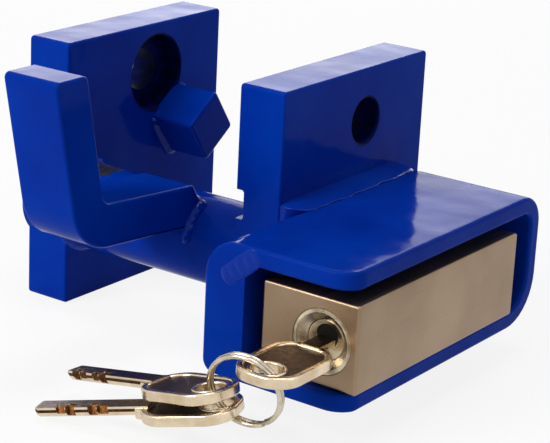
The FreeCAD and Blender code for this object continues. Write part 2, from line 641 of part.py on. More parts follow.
# checks and files
doc.recompute()
for thing in doc.Objects:
    if {"Invalid", "Error"} & set(thing.State):
        raise ValueError(f"{thing.Label} failed: {thing.State}")
os.makedirs("parts", exist_ok=True)
whole = None
for label, thing in subparts.items():
    shape = thing.Shape
    if shape.isNull() or not shape.isValid():
        raise ValueError(label + " has no valid shape")
    shape.exportStep(f"parts/{label}.step")
    limits = shape.BoundBox
    print(f"{label:22s} {shape.Volume / 1000:8.2f} cm3  solids {len(shape.Solids)}")
    whole = limits if whole is None else whole.united(limits)
print("whole", whole)
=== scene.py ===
import bpy
import bmesh
import math
from mathutils import Matrix, Vector, noise


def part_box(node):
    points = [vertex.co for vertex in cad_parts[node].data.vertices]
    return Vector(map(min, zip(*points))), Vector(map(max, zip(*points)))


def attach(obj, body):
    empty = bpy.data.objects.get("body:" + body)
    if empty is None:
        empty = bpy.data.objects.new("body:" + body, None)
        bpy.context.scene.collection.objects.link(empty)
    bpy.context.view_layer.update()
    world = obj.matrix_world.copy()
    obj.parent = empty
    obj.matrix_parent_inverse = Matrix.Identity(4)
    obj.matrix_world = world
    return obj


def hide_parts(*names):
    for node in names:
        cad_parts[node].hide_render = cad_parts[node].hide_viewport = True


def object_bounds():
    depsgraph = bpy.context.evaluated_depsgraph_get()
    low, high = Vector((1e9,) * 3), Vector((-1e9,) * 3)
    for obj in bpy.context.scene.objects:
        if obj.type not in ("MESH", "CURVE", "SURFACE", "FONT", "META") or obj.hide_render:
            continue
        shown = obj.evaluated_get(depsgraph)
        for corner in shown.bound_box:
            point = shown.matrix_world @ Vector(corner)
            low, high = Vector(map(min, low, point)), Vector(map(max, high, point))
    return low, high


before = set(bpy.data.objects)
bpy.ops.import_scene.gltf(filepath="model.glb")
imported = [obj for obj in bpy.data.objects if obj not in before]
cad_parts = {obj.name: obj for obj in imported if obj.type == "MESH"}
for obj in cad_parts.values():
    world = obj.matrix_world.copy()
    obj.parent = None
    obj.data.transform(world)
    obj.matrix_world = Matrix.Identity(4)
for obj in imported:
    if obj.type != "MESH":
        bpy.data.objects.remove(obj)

mm = 0.001
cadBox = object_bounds()
scene = bpy.context.scene
print("frame loaded,", len(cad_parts), "nodes")


# tools that every piece uses
def linearColour(hexText):
    # sRGB hex to the linear values the shaders want
    channels = [int(hexText[i:i + 2], 16) / 255 for i in (1, 3, 5)]
    return [c / 12.92 if c <= 0.04045 else ((c + 0.055) / 1.055) ** 2.4 for c in channels] + [1.0]


def roundedLoop(corners, radii, steps=7):
    # closed flat outline; a radius of None leaves that corner sharp
    loop = []
    for i, corner in enumerate(corners):
        here = Vector(corner)
        if radii[i] is None:
            loop.append(here)
            continue
        before = (Vector(corners[i - 1]) - here).normalized()
        after = (Vector(corners[(i + 1) % len(corners)]) - here).normalized()
        half = before.angle(after) / 2
        middle = here + (before + after).normalized() * radii[i] / math.sin(half)
        first = here + before * radii[i] / math.tan(half) - middle
        last = here + after * radii[i] / math.tan(half) - middle
        start = math.atan2(first.y, first.x)
        turn = math.atan2(last.y, last.x) - start
        turn = (turn + math.pi) % (2 * math.pi) - math.pi
        for k in range(steps + 1):
            angle = start + turn * k / steps
            loop.append(middle + Vector((math.cos(angle), math.sin(angle))) * radii[i])
    return loop


def circleLoop(across, up, radius, steps=64):
    return [Vector((across + radius * math.cos(a), up + radius * math.sin(a)))
            for a in (2 * math.pi * k / steps for k in range(steps))]


def meshFrom(name, points, faces):
    # points in mm
    mesh = bpy.data.meshes.new(name)
    mesh.from_pydata([Vector(p) * mm for p in points], [], faces)
    work = bmesh.new()
    work.from_mesh(mesh)
    bmesh.ops.remove_doubles(work, verts=work.verts, dist=1e-7)
    bmesh.ops.recalc_face_normals(work, faces=work.faces)
    work.to_mesh(mesh)
    work.free()
    piece = bpy.data.objects.new(name, mesh)
    scene.collection.objects.link(piece)
    return piece


def skin(name, sections, endless=False):
    # one closed surface through equal sections, capped at both ends unless it is endless
    count = len(sections[0])
    points = [p for section in sections for p in section]
    faces = []
    for i in range(len(sections) if endless else len(sections) - 1):
        a, b = i * count, (i + 1) % len(sections) * count
        for k in range(count):
            n = (k + 1) % count
            faces.append((a + k, a + n, b + n, b + k))
    if not endless:
        faces.append(tuple(range(count)))
        faces.append(tuple(range(len(points) - count, len(points))))
    return meshFrom(name, points, faces)


def turned(name, profile, origin, axis="x", steps=72):
    # lathe work: profile is (distance along the axis, radius)
    spin = {"x": (Vector((1, 0, 0)), Vector((0, 1, 0)), Vector((0, 0, 1))),
            "y": (Vector((0, 1, 0)), Vector((0, 0, 1)), Vector((1, 0, 0)))}[axis]
    rings = []
    for along, radius in profile:
        middle = Vector(origin) + spin[0] * along
        rings.append([middle + (spin[1] * math.cos(a) + spin[2] * math.sin(a)) * radius
                      for a in (2 * math.pi * k / steps for k in range(steps))])
    return skin(name, rings)


def cutPlate(name, loops, low, high, edge, spread=("y", "z")):
    # plate sawn to an outline, with its edges eased; loops are in the plane that spread names
    curve = bpy.data.curves.new(name, "CURVE")
    curve.dimensions = "2D"
    curve.fill_mode = "BOTH"
    curve.bevel_depth = edge * mm
    curve.bevel_resolution = 3
    curve.offset = -edge * mm
    curve.extrude = ((high - low) / 2 - edge) * mm
    for loop in loops:
        spline = curve.splines.new("POLY")
        spline.points.add(len(loop) - 1)
        for point, spot in zip(spline.points, loop):
            point.co = (spot.x * mm, spot.y * mm, 0, 1)
        spline.use_cyclic_u = True
    drawn = bpy.data.objects.new(name + "_drawn", curve)
    mesh = bpy.data.meshes.new_from_object(drawn)
    bpy.data.objects.remove(drawn)
    bpy.data.curves.remove(curve)
    axes = {"x": Vector((1, 0, 0)), "y": Vector((0, 1, 0)), "z": Vector((0, 0, 1))}
    right, up = axes[spread[0]], axes[spread[1]]
    out = right.cross(up)
    turn = Matrix((right, up, out)).transposed().to_4x4()
    middle = (low + high) / 2 * (out.x + out.y + out.z)
    mesh.transform(turn @ Matrix.Translation((0, 0, middle * mm)))
    work = bmesh.new()
    work.from_mesh(mesh)
    bmesh.ops.remove_doubles(work, verts=work.verts, dist=1e-6)
    bmesh.ops.recalc_face_normals(work, faces=work.faces)
    work.to_mesh(mesh)
    work.free()
    mesh.name = name
    piece = bpy.data.objects.new(name, mesh)
    scene.collection.objects.link(piece)
    return piece


def settle(piece):
    # turn the piece's modifiers into mesh
    graph = bpy.context.evaluated_depsgraph_get()
    graph.update()
    mesh = bpy.data.meshes.new_from_object(piece.evaluated_get(graph))
    piece.modifiers.clear()
    piece.data = mesh
    return piece


def carve(piece, *cutters):
    for cutter in cutters:
        step = piece.modifiers.new("carve", "BOOLEAN")
        step.operation = "DIFFERENCE"
        step.solver = "EXACT"
        step.material_mode = "TRANSFER" if cutter.data.materials else "INDEX"
        step.object = cutter
    settle(piece)
    for cutter in cutters:
        bpy.data.objects.remove(cutter)
    return piece


def joined(name, pieces):
    # several shells kept as one piece, each with its own material number
    work = bmesh.new()
    for number, piece in pieces:
        first = len(work.faces)
        work.from_mesh(piece.data)
        work.faces.ensure_lookup_table()
        for face in work.faces[first:]:
            face.material_index = number if number is not None else face.material_index
        bpy.data.objects.remove(piece)
    mesh = bpy.data.meshes.new(name)
    work.to_mesh(mesh)
    work.free()
    piece = bpy.data.objects.new(name, mesh)
    scene.collection.objects.link(piece)
    return piece


def handOver(piece, body, nodes, materials, sharp=32):
    # smooth shading, finish, and the body that carries the piece
    for material in materials:
        piece.data.materials.append(material)
    piece.data.shade_smooth()
    piece.data.set_sharp_from_angle(angle=math.radians(sharp))
    even = piece.modifiers.new("even faces", "WEIGHTED_NORMAL")
    even.keep_sharp = True
    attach(piece, body)
    if nodes:
        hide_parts(*nodes)
    return piece


puddle = {"steps": 12, "swell": 0.12, "swellEvery": 6, "lag": 1.3, "wander": 0.35, "wanderEvery": 9,
          "peak": 0.7, "blunt": 0.12}


def weldRun(name, stations, width, height, seed, root=(-0.7, -0.7), bow=1.25, pitch=2.3,
            ripple=0.16, taper=3.0, endless=False, flat=False):
    # one pass of weld: crescents one puddle apart, laid on the corner between two plates
    sections = []
    travelled = 0
    total = sum((stations[i + 1][0] - stations[i][0]).length for i in range(len(stations) - 1))
    for i, (corner, along, up) in enumerate(stations):
        if i:
            travelled += (corner - stations[i - 1][0]).length
        swell = 1 + puddle["swell"] * noise.noise(Vector((travelled / puddle["swellEvery"], seed * 3.7, 0)))
        near = min(1, (min(travelled, total - travelled) + puddle["blunt"]) / taper)
        fade = 1 if endless else math.sqrt(1 - (1 - near) ** 2)
        section = []
        wander = puddle["wander"] * noise.noise(Vector((travelled / puddle["wanderEvery"], seed, 5)))
        for k in range(puddle["steps"] + 1):
            t = k / puddle["steps"] * math.pi / 2
            lag = (2 * k / puddle["steps"] - 1) ** 2 * puddle["lag"]
            phase = (travelled + lag) / pitch + wander
            crest = 1 - abs(math.sin(math.pi * phase)) ** puddle["peak"]
            lift = ripple * (0.5 - crest) * math.sin(2 * t)
            if flat:                      # on a flat face the bead is a low dome
                t *= 2
                lift = ripple * (0.5 - crest) * math.sin(t)
                a = width * swell * fade * math.cos(t)
                b = height * swell * fade * math.sin(t)
            else:
                a = width * swell * fade * math.cos(t) ** bow
                b = height * swell * fade * math.sin(t) ** bow
            push = Vector((math.cos(t) * width, math.sin(t) * height)).normalized() * lift
            section.append(corner + along * (a + push.x) + up * (b + push.y))
        section.append(corner + along * root[0] + up * root[1])
        sections.append(section)
    return skin(name, sections, endless)


def resampled(stations, gap):
    # the same run with its stations a fixed step apart
    even = [stations[0]]
    for a, b in zip(stations, stations[1:]):
        count = max(1, int((b[0] - a[0]).length / gap))
        even += [tuple(p.lerp(q, k / count) for p, q in zip(a, b)) for k in range(1, count + 1)]
    return even


def straightRun(start, end, along, up, gap=0.35):
    start, end = Vector(start), Vector(end)
    count = max(2, int((end - start).length / gap))
    return [(start.lerp(end, k / count), Vector(along), Vector(up)) for k in range(count + 1)]


# camera and studio
view = {"place": (315.26, -419.70, 212.47), "right": (0.8088, 0.5864, 0.0472),
        "up": (-0.2204, 0.2276, 0.9486), "back": (0.5454, -0.7774, 0.3132), "lens": 129.16}
cameraData = bpy.data.cameras.new("camera")
cameraData.lens = view["lens"]
cameraData.sensor_width = 36
cameraData.clip_end = 20
camera = bpy.data.objects.new("camera", cameraData)
turn = Matrix((view["right"], view["up"], view["back"])).transposed().to_quaternion().to_matrix()
camera.matrix_world = Matrix.Translation(Vector(view["place"]) * mm) @ turn.to_4x4()
scene.collection.objects.link(camera)
scene.camera = camera
scene.view_settings.view_transform = "Standard"


def addNode(tree, kind, inputs=None, stops=(), **settings):
    # a node with its settings; an input is a value, or a socket to link from; stops colour a ramp
    node = tree.nodes.new(kind)
    for key, setting in settings.items():
        setattr(node, key, setting)
    for key, given in (inputs or {}).items():
        if isinstance(given, bpy.types.NodeSocket):
            tree.links.new(given, node.inputs[key])
        else:
            node.inputs[key].default_value = given
    if stops:
        ramp = node.color_ramp.elements
        ramp[0].position, ramp[-1].position = stops[0][0], stops[-1][0]
        for place, colour in stops[1:-1]:
            ramp.new(place)
        for stop, (place, colour) in zip(ramp, stops):
            stop.color = linearColour(colour)
    return node


def seenByEye(tree):
    # 1 for rays from the camera, a gloss or a clear piece; 0 for light falling on the object
    rays = addNode(tree, "ShaderNodeLightPath").outputs
    seen = addNode(tree, "ShaderNodeMath", {0: rays["Is Camera Ray"], 1: rays["Is Glossy Ray"]},
                   operation="MAXIMUM")
    return addNode(tree, "ShaderNodeMath", {0: seen.outputs[0], 1: rays["Is Transmission Ray"]},
                   operation="MAXIMUM")


studio = {"floorShade": "#f4f4f4", "roomForObject": 0.15, "floorWhite": 0.86, "floorReach": 4000,
          "floorGap": 0.2}
world = bpy.data.worlds.new("studio room")
scene.world = world
world.use_nodes = True
tree = world.node_tree
tree.nodes.clear()
seen = seenByEye(tree)
room = addNode(tree, "ShaderNodeBackground", {"Color": (1, 1, 1, 1), "Strength": studio["roomForObject"]})
backdrop = addNode(tree, "ShaderNodeBackground", {"Color": (1, 1, 1, 1), "Strength": 1.0})
mixed = addNode(tree, "ShaderNodeMixShader", {0: seen.outputs[0], 1: room.outputs[0], 2: backdrop.outputs[0]})
addNode(tree, "ShaderNodeOutputWorld", {"Surface": mixed.outputs[0]})

# white sweep: lit as matt card, and lifted to white where the camera or a gloss sees it
card = bpy.data.materials.new("matt white card")
card.use_nodes = True
tree = card.node_tree
tree.nodes.clear()
seen = seenByEye(tree)
lift = addNode(tree, "ShaderNodeMath", {0: seen.outputs[0], 1: studio["floorWhite"]}, operation="MULTIPLY")
paper = addNode(tree, "ShaderNodeBsdfDiffuse", {"Color": linearColour(studio["floorShade"])})
glow = addNode(tree, "ShaderNodeEmission", {"Color": (1, 1, 1, 1), "Strength": 1.0})
mixed = addNode(tree, "ShaderNodeMixShader", {0: lift.outputs[0], 1: paper.outputs[0], 2: glow.outputs[0]})
addNode(tree, "ShaderNodeOutputMaterial", {"Surface": mixed.outputs[0]})
reach = studio["floorReach"]
floor = meshFrom("floor", [(-reach, -reach, 0), (reach, -reach, 0), (reach, reach, 0), (-reach, reach, 0)],
                 [(0, 1, 2, 3)])
floor.data.materials.append(card)
floor.location.z = cadBox[0][2] - studio["floorGap"] * mm


def softbox(name, place, aim, size, power):
    lamp = bpy.data.lights.new(name, "AREA")
    lamp.shape = "RECTANGLE"
    lamp.size, lamp.size_y = size
    lamp.energy = power
    holder = bpy.data.objects.new(name, lamp)
    holder.location = place
    holder.rotation_euler = (Vector(aim) - Vector(place)).to_track_quat("-Z", "Y").to_euler()
    holder.visible_camera = False
    scene.collection.objects.link(holder)


softbox("key softbox", (-0.35, -0.95, 0.75), (0, 0, 0.04), (0.55, 0.55), 10.6)
softbox("overhead softbox", (0.1, 0.1, 1.1), (0, 0, 0.04), (0.35, 0.35), 3.2)
softbox("back softbox", (-0.62, 0.85, 0.40), (0, 0, 0.05), (0.9, 0.45), 4.2)
softbox("side softbox", (1.0, 0.05, 0.45), (0, 0, 0.04), (0.4, 0.5), 1.1)
print("camera and studio set")


# finishes
def newFinish(name):
    # an empty material, its node tree, and places on the piece as it was made
    material = bpy.data.materials.new(name)
    material.use_nodes = True
    tree = material.node_tree
    tree.nodes.clear()
    return material, tree, addNode(tree, "ShaderNodeTexCoord").outputs["Object"]


def perMetre(sizeMm):
    # texture scale for a pattern that repeats every sizeMm
    return 1000 / sizeMm


enamel = {"deep": "#022a92", "full": "#02309d", "thin": "#0337a5", "roughness": 0.1, "shine": 0.02,
          "beadShine": 0.09, "sag": 17, "sagDepth": 0.55, "peel": 3.2, "peelDepth": 0.035}


def wavyCoat(tree, place):
    # poured-on gloss: slow sags a finger wide over fine orange peel
    sags = addNode(tree, "ShaderNodeTexNoise", {"Vector": place, "Scale": perMetre(enamel["sag"]),
                                                "Detail": 1.0})
    peel = addNode(tree, "ShaderNodeTexNoise", {"Vector": place, "Scale": perMetre(enamel["peel"]),
                                                "Detail": 1.5})
    first = addNode(tree, "ShaderNodeBump", {"Height": sags.outputs["Fac"], "Strength": 1.0,
                                             "Distance": enamel["sagDepth"] * mm})
    return addNode(tree, "ShaderNodeBump", {"Height": peel.outputs["Fac"], "Strength": 1.0,
                                            "Distance": enamel["peelDepth"] * mm,
                                            "Normal": first.outputs[0]})


def enamelShader(tree, place, shine):
    # alkyd enamel sprayed thick on steel: deep cobalt, a wet gloss that wanders with every sag
    drift = addNode(tree, "ShaderNodeTexNoise", {"Vector": place, "Scale": perMetre(30), "Detail": 3.0})
    shade = addNode(tree, "ShaderNodeValToRGB", {"Fac": drift.outputs["Fac"]},
                    stops=((0.3, enamel["deep"]), (0.5, enamel["full"]), (0.7, enamel["thin"])))
    dull = addNode(tree, "ShaderNodeTexNoise", {"Vector": place, "Scale": perMetre(8), "Detail": 4.0})
    gloss = addNode(tree, "ShaderNodeMapRange", {"Value": dull.outputs["Fac"], "From Min": 0.3,
                                                 "From Max": 0.75, "To Min": enamel["roughness"] * 0.7,
                                                 "To Max": enamel["roughness"] * 1.5})
    bump = wavyCoat(tree, place)
    return addNode(tree, "ShaderNodeBsdfPrincipled",
                   {"Base Color": shade.outputs["Color"], "Roughness": gloss.outputs[0],
                    "Specular IOR Level": shine, "Normal": bump.outputs[0]})


def enamelled(name, shine):
    material, tree, place = newFinish(name)
    paint = enamelShader(tree, place, shine)
    addNode(tree, "ShaderNodeOutputMaterial", {"Surface": paint.outputs[0]})
    return material


def spotted(name, look):
    # two colours in spots of one size, with pits to match where the look has them
    material, tree, place = newFinish(name)
    spots = addNode(tree, "ShaderNodeTexNoise", {"Vector": place, "Scale": perMetre(look["spot"]),
                                                 "Detail": look["detail"], "Roughness": look["ragged"]})
    tint = addNode(tree, "ShaderNodeValToRGB", {"Fac": spots.outputs["Fac"]}, stops=look["tint"])
    shader = addNode(tree, "ShaderNodeBsdfPrincipled", {"Base Color": tint.outputs["Color"],
                                                        **look["shader"]})
    if "pits" in look:
        pits = addNode(tree, "ShaderNodeBump", {"Height": spots.outputs["Fac"], "Strength": look["pits"],
                                                "Distance": look["pitDepth"] * mm})
        tree.links.new(pits.outputs[0], shader.inputs["Normal"])
    addNode(tree, "ShaderNodeOutputMaterial", {"Surface": shader.outputs[0]})
    return material


blueEnamel = enamelled("blue alkyd enamel, sprayed", enamel["shine"])
# the same enamel where it pooled over weld ripples: thicker, so it glints
beadEnamel = enamelled("blue alkyd enamel, over weld", enamel["beadShine"])
# inside the drilled holes the enamel is painted near black as shade: painted shade in spots of two dark
# tones, and dull
holeShadeEnamel = spotted("blue alkyd enamel, painted dark as shade",
                     {"spot": 2.5, "detail": 4.0, "ragged": 0.5, "pits": 0.6, "pitDepth": 0.08,
                      "tint": ((0.35, "#02082e"), (0.75, "#03145c")),
                      "shader": {"Roughness": 0.45, "Specular IOR Level": 0.03}})

# the shaft is ground bar: enamelled, but for its far side near the left jaw, where no spray reached
shaftFinish, tree, place = newFinish("ground steel bar, part enamelled")
bar = {"steel": "#8d8578", "scale": "#5c554c", "bareUntil": -43.5, "raggedness": 3.0, "sprayedUpTo": 5,
       "endFrom": -60}
parts = addNode(tree, "ShaderNodeSeparateXYZ", {0: place})
ragged = addNode(tree, "ShaderNodeTexNoise", {"Vector": place, "Scale": perMetre(7), "Detail": 5.0})
edge = addNode(tree, "ShaderNodeMath", {0: ragged.outputs["Fac"], 1: bar["raggedness"] * mm,
                                        2: (bar["bareUntil"] - bar["raggedness"] / 2) * mm},
               operation="MULTIPLY_ADD")
pastEdge = addNode(tree, "ShaderNodeMath", {0: parts.outputs["X"], 1: edge.outputs[0]},
                   operation="GREATER_THAN")
nearSide = addNode(tree, "ShaderNodeMath", {0: parts.outputs["Y"], 1: bar["sprayedUpTo"] * mm},
                   operation="LESS_THAN")
endFace = addNode(tree, "ShaderNodeMath", {0: parts.outputs["X"], 1: bar["endFrom"] * mm},
                  operation="LESS_THAN")
sprayedToo = addNode(tree, "ShaderNodeMath", {0: endFace.outputs[0], 1: nearSide.outputs[0]},
                     operation="MAXIMUM")
painted = addNode(tree, "ShaderNodeMath", {0: pastEdge.outputs[0], 1: sprayedToo.outputs[0]},
                  operation="MAXIMUM")
rings = addNode(tree, "ShaderNodeMapping", {"Vector": place, "Scale": (perMetre(0.5), 40, 40)})
grind = addNode(tree, "ShaderNodeTexNoise", {"Vector": rings.outputs[0], "Scale": 1.0, "Detail": 3.0})
metal = addNode(tree, "ShaderNodeValToRGB", {"Fac": grind.outputs["Fac"]},
                stops=((0.3, bar["scale"]), (0.6, bar["steel"])))
scratch = addNode(tree, "ShaderNodeBump", {"Height": grind.outputs["Fac"], "Strength": 0.6,
                                           "Distance": 0.05 * mm})
bare = addNode(tree, "ShaderNodeBsdfPrincipled", {"Base Color": metal.outputs["Color"], "Metallic": 1.0,
                                                  "Roughness": 0.34, "Normal": scratch.outputs[0]})
paint = enamelShader(tree, place, enamel["shine"])
both = addNode(tree, "ShaderNodeMixShader", {0: painted.outputs[0], 1: bare.outputs[0], 2: paint.outputs[0]})
addNode(tree, "ShaderNodeOutputMaterial", {"Surface": both.outputs[0]})


def brushedMetal(name, light, dark, roughness, stretch, depth=0.02, blotch=14, grain=0.35):
    # metal drawn along one way: fine parallel scratches, and cloudy handling marks
    material, tree, place = newFinish(name)
    scale = tuple(perMetre(grain) if s else perMetre(40) for s in stretch)
    lines = addNode(tree, "ShaderNodeMapping", {"Vector": place, "Scale": scale})
    hair = addNode(tree, "ShaderNodeTexNoise", {"Vector": lines.outputs[0], "Scale": 1.0, "Detail": 4.0,
                                                "Roughness": 0.7})
    clouds = addNode(tree, "ShaderNodeTexNoise", {"Vector": place, "Scale": perMetre(blotch),
                                                  "Detail": 3.0})
    both = addNode(tree, "ShaderNodeMath", {0: hair.outputs["Fac"], 1: 0.35,
                                            2: clouds.outputs["Fac"]}, operation="MULTIPLY_ADD")
    colour = addNode(tree, "ShaderNodeValToRGB", {"Fac": both.outputs[0]}, stops=((0.5, dark), (0.85, light)))
    rough = addNode(tree, "ShaderNodeMapRange", {"Value": hair.outputs["Fac"], "From Min": 0.3,
                                                 "From Max": 0.7, "To Min": roughness * 0.75,
                                                 "To Max": roughness * 1.3})
    bump = addNode(tree, "ShaderNodeBump", {"Height": hair.outputs["Fac"], "Strength": 0.5,
                                            "Distance": depth * mm})
    shader = addNode(tree, "ShaderNodeBsdfPrincipled",
                     {"Base Color": colour.outputs["Color"], "Metallic": 1.0,
                      "Roughness": rough.outputs[0], "Normal": bump.outputs[0]})
    addNode(tree, "ShaderNodeOutputMaterial", {"Surface": shader.outputs[0]})
    return material


def turnedMetal(name, light, dark, roughness, centre, ring=0.45, depth=0.012, streak=0.0):
    # metal faced on a lathe: rings one tool feed apart round the padlock's core line
    material, tree, place = newFinish(name)
    moved = addNode(tree, "ShaderNodeMapping", {"Vector": place,
                                                "Location": (-centre[0] * mm, 0, -centre[1] * mm),
                                                "Scale": (1, 0, 1)})
    away = addNode(tree, "ShaderNodeVectorMath", {0: moved.outputs[0]}, operation="LENGTH")
    feed = addNode(tree, "ShaderNodeMath", {0: away.outputs["Value"], 1: 2 * math.pi * perMetre(ring)},
                   operation="MULTIPLY")
    wave = addNode(tree, "ShaderNodeMath", {0: feed.outputs[0]}, operation="SINE")
    stain = addNode(tree, "ShaderNodeTexNoise", {"Vector": place, "Scale": perMetre(5), "Detail": 4.0})
    colour = addNode(tree, "ShaderNodeValToRGB", {"Fac": stain.outputs["Fac"]},
                     stops=((0.35, dark), (0.62, light)))
    bump = addNode(tree, "ShaderNodeBump", {"Height": wave.outputs[0], "Strength": 0.5,
                                            "Distance": depth * mm})
    rough = addNode(tree, "ShaderNodeMapRange", {"Value": stain.outputs["Fac"], "To Min": roughness * 0.7,
                                                 "To Max": roughness * 1.5})
    shader = addNode(tree, "ShaderNodeBsdfPrincipled",
                     {"Base Color": colour.outputs["Color"], "Metallic": 1.0, "Anisotropic": streak,
                      "Roughness": rough.outputs[0], "Normal": bump.outputs[0]})
    if streak:                            # light runs across the tool rings, out from the middle
        around = addNode(tree, "ShaderNodeTangent", direction_type="RADIAL", axis="Y")
        tree.links.new(around.outputs[0], shader.inputs["Tangent"])
    addNode(tree, "ShaderNodeOutputMaterial", {"Surface": shader.outputs[0]})
    return material


coreLine = (58.5, 27.25)                  # X and Z of the padlock's cylinder
nickelBrass = brushedMetal("satin nickel on brass, brushed", "#9d8770", "#87725c", 0.34, (1, 0, 1),
                           depth=0.03, blotch=30)
dishSteel = turnedMetal("stainless steel, turned and polished", "#cdbfa5", "#8d7f69", 0.2, coreLine,
                        ring=0.5, depth=0.004, streak=0.85)
plugSteel = turnedMetal("stainless steel, faced", "#8d806c", "#6e6250", 0.28, coreLine)
coreSteel = turnedMetal("free-cutting steel, machined", "#8b857b", "#6f6960", 0.36, coreLine, ring=0.6)
boltSteel = brushedMetal("hardened steel, ground", "#9a9892", "#7d7b76", 0.27, (0, 1, 0), depth=0.01,
                         blotch=9)
discBrass = turnedMetal("brass, stamped", "#c8a257", "#a37f3c", 0.3, coreLine, ring=0.3)
keyNickel = brushedMetal("worn nickel silver, milled", "#e6d5ba", "#c9b494", 0.24, (0, 1, 1), depth=0.015,
                         blotch=6)
springSteel = brushedMetal("bright spring wire, drawn", "#cfc6b4", "#a89c86", 0.17, (1, 1, 1), depth=0.008,
                           blotch=4, grain=1.2)
# the recess of a key bow and the flat of its blade are painted dark brown, speckled and dull: painted shade
# over the brass
keyShadeBrown = spotted("brass, painted dark brown as shade",
                   {"spot": 1.6, "detail": 6.0, "ragged": 0.75, "pits": 0.8, "pitDepth": 0.12,
                    "tint": ((0.38, "#1c1311"), (0.68, "#6c5240")),
                    "shader": {"Metallic": 1.0, "Roughness": 0.38}})
# inside the keyway a near-black sleeve stands for shade: painted shade, barely shining
keywayShadeBlack = spotted("steel, near black as painted shade",
                     {"spot": 1.2, "detail": 3.0, "ragged": 0.5, "tint": ((0.0, "#020202"), (1.0, "#080605")),
                      "shader": {"Roughness": 0.5, "Specular IOR Level": 0.15}})
# cuts milled through the nickel show brown brass, darkened as painted shade in the cuts
cutBrassShade = spotted("brass, milled, dark with painted shade",
                   {"spot": 1.1, "detail": 5.0, "ragged": 0.5, "tint": ((0.35, "#2e1a0c"), (0.7, "#5f3d1e")),
                    "shader": {"Metallic": 1.0, "Roughness": 0.42}})
print("finishes mixed")

# jaws: two sawn plates
jaw = {"thick": 15, "frontY": -0.6, "length": 72, "height": 80, "corner": 1.2, "edge": 0.7,
       "holeY": 40.1, "holeZ": 64.5, "holeRadius": 6.6, "sinkRadius": 11.5, "sinkDepth": 6,
       "leftX": -69.5, "rightX": 7.5, "lip": 0.8}
shaftBar = {"y": 9.4, "z": 29.2, "radius": 12.7, "seatGap": 0.04, "seatLip": 0.4, "slideGap": 0.06,
            "slideLip": 0.5}
groove = {"lowZ": 41.5, "highZ": 50, "deep": 2.8, "corner": 0.8}
beyond = 2                                # how far a cutter runs out past a face
seatRadius = shaftBar["radius"] + shaftBar["seatGap"]
slideRadius = shaftBar["radius"] + shaftBar["slideGap"]


def sprayed(piece, finish):
    piece.data.materials.append(finish)
    return piece


def jawBlank(name, lowX):
    low, high = jaw["frontY"], jaw["frontY"] + jaw["length"]
    outline = roundedLoop([(low, 0), (high, 0), (high, jaw["height"]), (low, jaw["height"])],
                          [jaw["corner"]] * 4)
    return sprayed(cutPlate(name, [outline], lowX, lowX + jaw["thick"], jaw["edge"]), blueEnamel)


def mouth(faceX, radius, inward, lip):
    # eased mouth of a hole, from clear of the face inwards
    bend = [(faceX + inward * lip * (1 - math.cos(a)), radius + lip * (1 - math.sin(a)))
            for a in (math.pi / 2 * k / 4 for k in range(5))]
    return [(faceX - inward * beyond, radius + lip)] + bend


def bore(name, profile, y, z):
    # the cutter's near-black enamel passes to the walls it leaves: painted shade inside the hole
    return sprayed(turned(name, profile, (0, y, z)), holeShadeEnamel)


leftIn = jaw["leftX"] + jaw["thick"]
drill = mouth(jaw["leftX"], jaw["holeRadius"], 1, jaw["lip"])
drill += [(leftIn - jaw["sinkDepth"], jaw["holeRadius"]), (leftIn - jaw["sinkDepth"], jaw["sinkRadius"])]
drill += mouth(leftIn, jaw["sinkRadius"], -1, jaw["lip"])[::-1]
seat = mouth(jaw["leftX"], seatRadius, 1, shaftBar["seatLip"]) + [(leftIn + beyond, seatRadius)]
leftJaw = carve(jawBlank("left_jaw", jaw["leftX"]), bore("left_drill", drill, jaw["holeY"], jaw["holeZ"]),
                bore("shaft_seat", seat, shaftBar["y"], shaftBar["z"]))
handOver(leftJaw, "jaw", ["left_jaw_plate"], [])

rightOut = jaw["rightX"] + jaw["thick"]
drill = mouth(jaw["rightX"], jaw["holeRadius"], 1, jaw["lip"])
drill += mouth(rightOut, jaw["holeRadius"], -1, jaw["lip"])[::-1]
slideWay = mouth(jaw["rightX"], slideRadius, 1, shaftBar["slideLip"]) + [(rightOut + beyond, slideRadius)]
mouthX, floorX = jaw["rightX"] - beyond, jaw["rightX"] + groove["deep"]
grooveLine = roundedLoop([(groove["lowZ"], mouthX), (groove["highZ"], mouthX), (groove["highZ"], floorX),
                          (groove["lowZ"], floorX)], [None, None, groove["corner"], groove["corner"]])
grooveBar = cutPlate("groove", [grooveLine], jaw["frontY"] - beyond, jaw["frontY"] + jaw["length"] + beyond,
                     0.01, ("z", "x"))
rightJaw = carve(jawBlank("right_jaw", jaw["rightX"]), bore("right_drill", drill, jaw["holeY"], jaw["holeZ"]),
                 bore("slide_way", slideWay, shaftBar["y"], shaftBar["z"]), sprayed(grooveBar, blueEnamel))
handOver(rightJaw, "box", ["right_jaw_plate"], [])
print("jaws made")

# hook: flat bar bent hot to a J, its short leg welded on the shaft
hook = {"lowX": -26.25, "highX": -7.75, "thick": 12.2, "lean": 11.5, "slope": 4.5, "topZ": 87,
        "frontY": -58.1, "bend": 4.4, "outerBend": 16.2, "corner": 1.6, "endCorners": (0.5, 1.4),
        "endY": 0.4, "endZ": 47.3, "footLong": 8, "edge": 0.85}
lean, slope = math.radians(hook["lean"]), math.radians(hook["slope"])
backTopY = hook["frontY"] + hook["thick"] / math.cos(lean)
rise = hook["topZ"] - hook["endZ"] - hook["endY"] * math.tan(slope)
innerY = (backTopY + rise * math.tan(lean)) / (1 - math.tan(slope) * math.tan(lean))
innerZ = hook["endZ"] + (hook["endY"] - innerY) * math.tan(slope)
across = hook["thick"] / (1 + math.sin(lean + slope))
outerY = innerY - across * (math.cos(lean) + math.sin(slope))
outerZ = innerZ - across * (math.sin(lean) + math.cos(slope))
hookLine = [(hook["frontY"], hook["topZ"]), (outerY, outerZ),
            (hook["endY"] + hook["footLong"],
             hook["endZ"] - hook["thick"] / math.cos(slope) - hook["footLong"] * math.tan(slope)),
            (hook["endY"], hook["endZ"]), (innerY, innerZ), (backTopY, hook["topZ"])]
